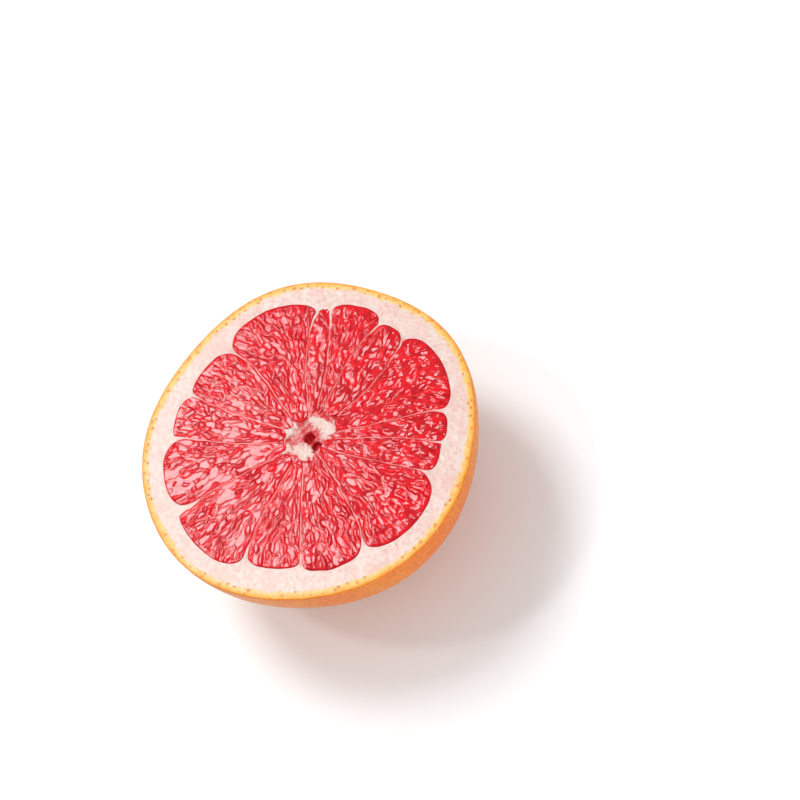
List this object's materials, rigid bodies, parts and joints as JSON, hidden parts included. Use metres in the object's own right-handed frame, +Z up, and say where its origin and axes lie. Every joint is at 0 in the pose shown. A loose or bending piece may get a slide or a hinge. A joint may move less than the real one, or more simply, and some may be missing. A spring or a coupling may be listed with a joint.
{
  "type": "grapefruit half",
  "caption": "Half of a red grapefruit cut across its segments, lying on its blossom end with the cut face up: peel, pith, membranes, pulp segments and core in one natural piece.",
  "frame": {"origin": "centre of the box at the level of the small flat spot that the half rests on; the fruit's own axis runs within 0.3 mm of it", "axes": "+Z up, out of the cut face along the fruit's axis from blossom end to stem end; +X and +Y across the cut face, with no landmark of their own"},
  "size_m": [0.1092, 0.1084, 0.0465],
  "materials": {
    "peel": "satin orange-pink peel with fine oil-gland dots",
    "pith": "moist, pale pinkish-white spongy pith, membranes and core",
    "pulp": "wet, translucent red juice sacs"
  },
  "bodies": {
    "root": {"grapefruit_half": "peel"}
  },
  "joints": []
}
